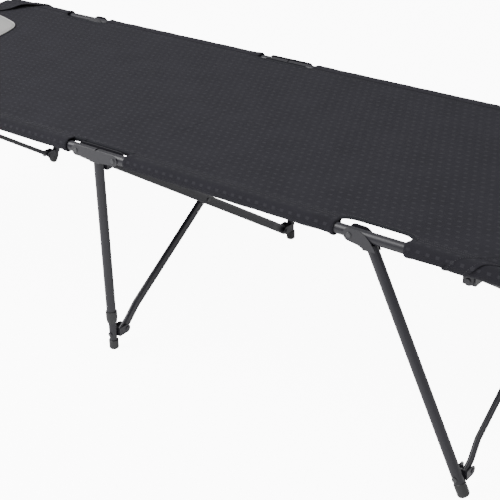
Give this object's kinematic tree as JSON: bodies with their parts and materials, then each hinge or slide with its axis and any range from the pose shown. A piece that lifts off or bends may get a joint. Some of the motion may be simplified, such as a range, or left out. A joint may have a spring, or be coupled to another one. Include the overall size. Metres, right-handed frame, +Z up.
{
  "type": "folding cot",
  "caption": "Folding camp cot: stretched fabric bed on hinged side rails, telescoping middle legs, swinging end legs and crossed folding braces.",
  "frame": {"origin": "on the floor under the middle of the bed", "axes": "+X towards the foot end, +Y towards the back side, +Z up"},
  "size_m": [2.044, 0.7182, 0.5115],
  "materials": {
    "bed_cloth": "charcoal woven polyester with a fine speck",
    "pad_cloth": "light grey soft cloth",
    "rubber_foot": "matt moulded rubber",
    "black_plastic": "fine grain",
    "rivet_steel": "dark plated",
    "rail_tube": "satin powder coat",
    "leg_tube": "satin powder coat",
    "brace_tube": "satin powder coat",
    "sheet_steel": "satin powder coat"
  },
  "bodies": {
    "front_centre": {"front_centre_bracket": "sheet_steel", "front_upper_leg": "leg_tube", "front_leg_collar": "black_plastic", "front_upper_clevis": "sheet_steel", "front_centre_rivets": "rivet_steel", "bed_fabric": "bed_cloth", "headrest_pad": "pad_cloth"},
    "centre_brace_a": {"centre_brace_a": "brace_tube", "centre_crossing_rivet": "rivet_steel"},
    "centre_brace_b": {"centre_brace_b": "brace_tube"},
    "back_centre": {"back_centre_bracket": "sheet_steel", "back_upper_leg": "leg_tube", "back_leg_collar": "black_plastic", "back_upper_clevis": "sheet_steel", "back_centre_rivets": "rivet_steel"},
    "front_lower_leg": {"front_lower_leg": "leg_tube", "front_lower_foot": "rubber_foot", "front_lower_clevis": "sheet_steel"},
    "back_lower_leg": {"back_lower_leg": "leg_tube", "back_lower_foot": "rubber_foot", "back_lower_clevis": "sheet_steel"},
    "front_foot_rail": {"front_foot_rail": "rail_tube", "front_foot_sleeve": "bed_cloth"},
    "front_foot_leg": {"front_foot_leg": "leg_tube", "front_foot_leg_bracket": "sheet_steel", "front_foot_leg_rivets": "rivet_steel", "front_foot_leg_foot": "rubber_foot"},
    "front_foot_upper_clevis": {"front_foot_upper_clevis": "sheet_steel"},
    "front_foot_lower_clevis": {"front_foot_lower_clevis": "sheet_steel"},
    "back_foot_rail": {"back_foot_rail": "rail_tube", "back_foot_sleeve": "bed_cloth"},
    "back_foot_leg": {"back_foot_leg": "leg_tube", "back_foot_leg_bracket": "sheet_steel", "back_foot_leg_rivets": "rivet_steel", "back_foot_leg_foot": "rubber_foot"},
    "back_foot_upper_clevis": {"back_foot_upper_clevis": "sheet_steel"},
    "back_foot_lower_clevis": {"back_foot_lower_clevis": "sheet_steel"},
    "foot_brace_a": {"foot_brace_a": "brace_tube", "foot_crossing_rivet": "rivet_steel"},
    "foot_brace_b": {"foot_brace_b": "brace_tube"},
    "front_head_rail": {"front_head_rail": "rail_tube", "front_head_sleeve": "bed_cloth"},
    "front_head_leg": {"front_head_leg": "leg_tube", "front_head_leg_bracket": "sheet_steel", "front_head_leg_rivets": "rivet_steel", "front_head_leg_foot": "rubber_foot"},
    "front_head_upper_clevis": {"front_head_upper_clevis": "sheet_steel"},
    "front_head_lower_clevis": {"front_head_lower_clevis": "sheet_steel"},
    "back_head_rail": {"back_head_rail": "rail_tube", "back_head_sleeve": "bed_cloth"},
    "back_head_leg": {"back_head_leg": "leg_tube", "back_head_leg_bracket": "sheet_steel", "back_head_leg_rivets": "rivet_steel", "back_head_leg_foot": "rubber_foot"},
    "back_head_upper_clevis": {"back_head_upper_clevis": "sheet_steel"},
    "back_head_lower_clevis": {"back_head_lower_clevis": "sheet_steel"},
    "head_brace_a": {"head_brace_a": "brace_tube", "head_crossing_rivet": "rivet_steel"},
    "head_brace_b": {"head_brace_b": "brace_tube"}
  },
  "joints": [
    {"name": "width_fold", "type": "hinge", "parent": "front_centre", "child": "centre_brace_a", "pos_m": [0, -0.3095, 0.45805], "axis": [-1, 0, 0], "range_deg": [0, 53.77], "deforming": ["bed_fabric", "headrest_pad"]},
    {"name": "centre_crossing", "type": "hinge", "parent": "centre_brace_a", "child": "centre_brace_b", "pos_m": [0, 0, 0.24902], "axis": [-1, 0, 0], "range_deg": [-107.55, 0]},
    {"name": "back_centre_turn", "type": "hinge", "parent": "centre_brace_b", "child": "back_centre", "pos_m": [0, 0.3095, 0.45805], "axis": [-1, 0, 0], "range_deg": [0, 53.79]},
    {"name": "back_lower_leg_turn", "type": "hinge", "parent": "centre_brace_a", "child": "back_lower_leg", "pos_m": [0, 0.3095, 0.04], "axis": [-1, 0, 0], "range_deg": [-53.79, 0]},
    {"name": "front_lower_leg_turn", "type": "hinge", "parent": "centre_brace_b", "child": "front_lower_leg", "pos_m": [0, -0.3095, 0.04], "axis": [-1, 0, 0], "range_deg": [0, 53.79]},
    {"name": "rail_fold", "type": "hinge", "parent": "front_centre", "child": "front_foot_rail", "pos_m": [0.055, -0.344, 0.488], "axis": [0, 1, 0], "range_deg": [0, 60], "deforming": ["bed_fabric", "headrest_pad"]},
    {"name": "back_foot_rail_turn", "type": "hinge", "parent": "back_centre", "child": "back_foot_rail", "pos_m": [0.055, 0.344, 0.488], "axis": [0, 1, 0], "range_deg": [0, 60.02]},
    {"name": "front_foot_leg_swing", "type": "hinge", "parent": "front_foot_rail", "child": "front_foot_leg", "pos_m": [0.654, -0.344, 0.488], "axis": [0, 1, 0], "range_deg": [0, 115.02]},
    {"name": "front_foot_upper_clevis_swivel", "type": "hinge", "parent": "front_foot_rail", "child": "front_foot_upper_clevis", "pos_m": [0.89139, -0.344, 0.458], "axis": [0, 1, 0], "range_deg": [0, 90.77]},
    {"name": "back_foot_leg_swing", "type": "hinge", "parent": "back_foot_rail", "child": "back_foot_leg", "pos_m": [0.654, 0.344, 0.488], "axis": [0, 1, 0], "range_deg": [0, 115.02]},
    {"name": "back_foot_upper_clevis_swivel", "type": "hinge", "parent": "back_foot_rail", "child": "back_foot_upper_clevis", "pos_m": [0.89139, 0.344, 0.458], "axis": [0, 1, 0], "range_deg": [0, 90.77]},
    {"name": "foot_brace_turn", "type": "hinge", "parent": "front_foot_upper_clevis", "child": "foot_brace_a", "pos_m": [0.89139, -0.3095, 0.458], "axis": [-0.9999, 0, -0.015], "range_deg": [0, 53.79]},
    {"name": "foot_crossing", "type": "hinge", "parent": "foot_brace_a", "child": "foot_brace_b", "pos_m": [0.89453, 0, 0.249], "axis": [-0.9999, 0, -0.015], "range_deg": [-107.55, 0]},
    {"name": "back_foot_lower_clevis_turn", "type": "hinge", "parent": "foot_brace_a", "child": "back_foot_lower_clevis", "pos_m": [0.89766, 0.3095, 0.04], "axis": [-0.9999, 0, -0.015], "range_deg": [-53.79, 0]},
    {"name": "front_foot_lower_clevis_turn", "type": "hinge", "parent": "foot_brace_b", "child": "front_foot_lower_clevis", "pos_m": [0.89766, -0.3095, 0.04], "axis": [-0.9999, 0, -0.015], "range_deg": [0, 53.79]},
    {"name": "front_head_rail_turn", "type": "hinge", "parent": "front_centre", "child": "front_head_rail", "pos_m": [-0.055, -0.344, 0.488], "axis": [0, -1, 0], "range_deg": [0, 60.02]},
    {"name": "back_head_rail_turn", "type": "hinge", "parent": "back_centre", "child": "back_head_rail", "pos_m": [-0.055, 0.344, 0.488], "axis": [0, -1, 0], "range_deg": [0, 60.02]},
    {"name": "front_head_leg_swing", "type": "hinge", "parent": "front_head_rail", "child": "front_head_leg", "pos_m": [-0.654, -0.344, 0.488], "axis": [0, -1, 0], "range_deg": [0, 115.02]},
    {"name": "front_head_upper_clevis_swivel", "type": "hinge", "parent": "front_head_rail", "child": "front_head_upper_clevis", "pos_m": [-0.89139, -0.344, 0.458], "axis": [0, -1, 0], "range_deg": [0, 90.77]},
    {"name": "back_head_leg_swing", "type": "hinge", "parent": "back_head_rail", "child": "back_head_leg", "pos_m": [-0.654, 0.344, 0.488], "axis": [0, -1, 0], "range_deg": [0, 115.02]},
    {"name": "back_head_upper_clevis_swivel", "type": "hinge", "parent": "back_head_rail", "child": "back_head_upper_clevis", "pos_m": [-0.89139, 0.344, 0.458], "axis": [0, -1, 0], "range_deg": [0, 90.77]},
    {"name": "head_brace_turn", "type": "hinge", "parent": "front_head_upper_clevis", "child": "head_brace_a", "pos_m": [-0.89139, -0.3095, 0.458], "axis": [-0.9999, 0, 0.015], "range_deg": [0, 53.79]},
    {"name": "head_crossing", "type": "hinge", "parent": "head_brace_a", "child": "head_brace_b", "pos_m": [-0.89453, 0, 0.249], "axis": [-0.9999, 0, 0.015], "range_deg": [-107.55, 0]},
    {"name": "back_head_lower_clevis_turn", "type": "hinge", "parent": "head_brace_a", "child": "back_head_lower_clevis", "pos_m": [-0.89766, 0.3095, 0.04], "axis": [-0.9999, 0, 0.015], "range_deg": [-53.79, 0]},
    {"name": "front_head_lower_clevis_turn", "type": "hinge", "parent": "head_brace_b", "child": "front_head_lower_clevis", "pos_m": [-0.89766, -0.3095, 0.04], "axis": [-0.9999, 0, 0.015], "range_deg": [0, 53.79]}
  ],
  "couplings": [
    {"joint": "centre_crossing", "follows": "width_fold", "ratio": -2},
    {"joint": "back_centre_turn", "follows": "width_fold", "ratio": 1},
    {"joint": "back_lower_leg_turn", "follows": "width_fold", "ratio": -1},
    {"joint": "front_lower_leg_turn", "follows": "width_fold", "ratio": 1},
    {"joint": "back_foot_rail_turn", "follows": "rail_fold", "ratio": 1},
    {"joint": "front_foot_leg_swing", "follows": "width_fold", "ratio": 2.1389},
    {"joint": "front_foot_upper_clevis_swivel", "follows": "width_fold", "ratio": 1.6878},
    {"joint": "back_foot_leg_swing", "follows": "width_fold", "ratio": 2.1389},
    {"joint": "back_foot_upper_clevis_swivel", "follows": "width_fold", "ratio": 1.6878},
    {"joint": "foot_brace_turn", "follows": "width_fold", "ratio": 1},
    {"joint": "foot_crossing", "follows": "width_fold", "ratio": -2},
    {"joint": "back_foot_lower_clevis_turn", "follows": "width_fold", "ratio": -1},
    {"joint": "front_foot_lower_clevis_turn", "follows": "width_fold", "ratio": 1},
    {"joint": "front_head_rail_turn", "follows": "rail_fold", "ratio": 1},
    {"joint": "back_head_rail_turn", "follows": "rail_fold", "ratio": 1},
    {"joint": "front_head_leg_swing", "follows": "width_fold", "ratio": 2.1389},
    {"joint": "front_head_upper_clevis_swivel", "follows": "width_fold", "ratio": 1.6878},
    {"joint": "back_head_leg_swing", "follows": "width_fold", "ratio": 2.1389},
    {"joint": "back_head_upper_clevis_swivel", "follows": "width_fold", "ratio": 1.6878},
    {"joint": "head_brace_turn", "follows": "width_fold", "ratio": 1},
    {"joint": "head_crossing", "follows": "width_fold", "ratio": -2},
    {"joint": "back_head_lower_clevis_turn", "follows": "width_fold", "ratio": -1},
    {"joint": "front_head_lower_clevis_turn", "follows": "width_fold", "ratio": 1}
  ]
}
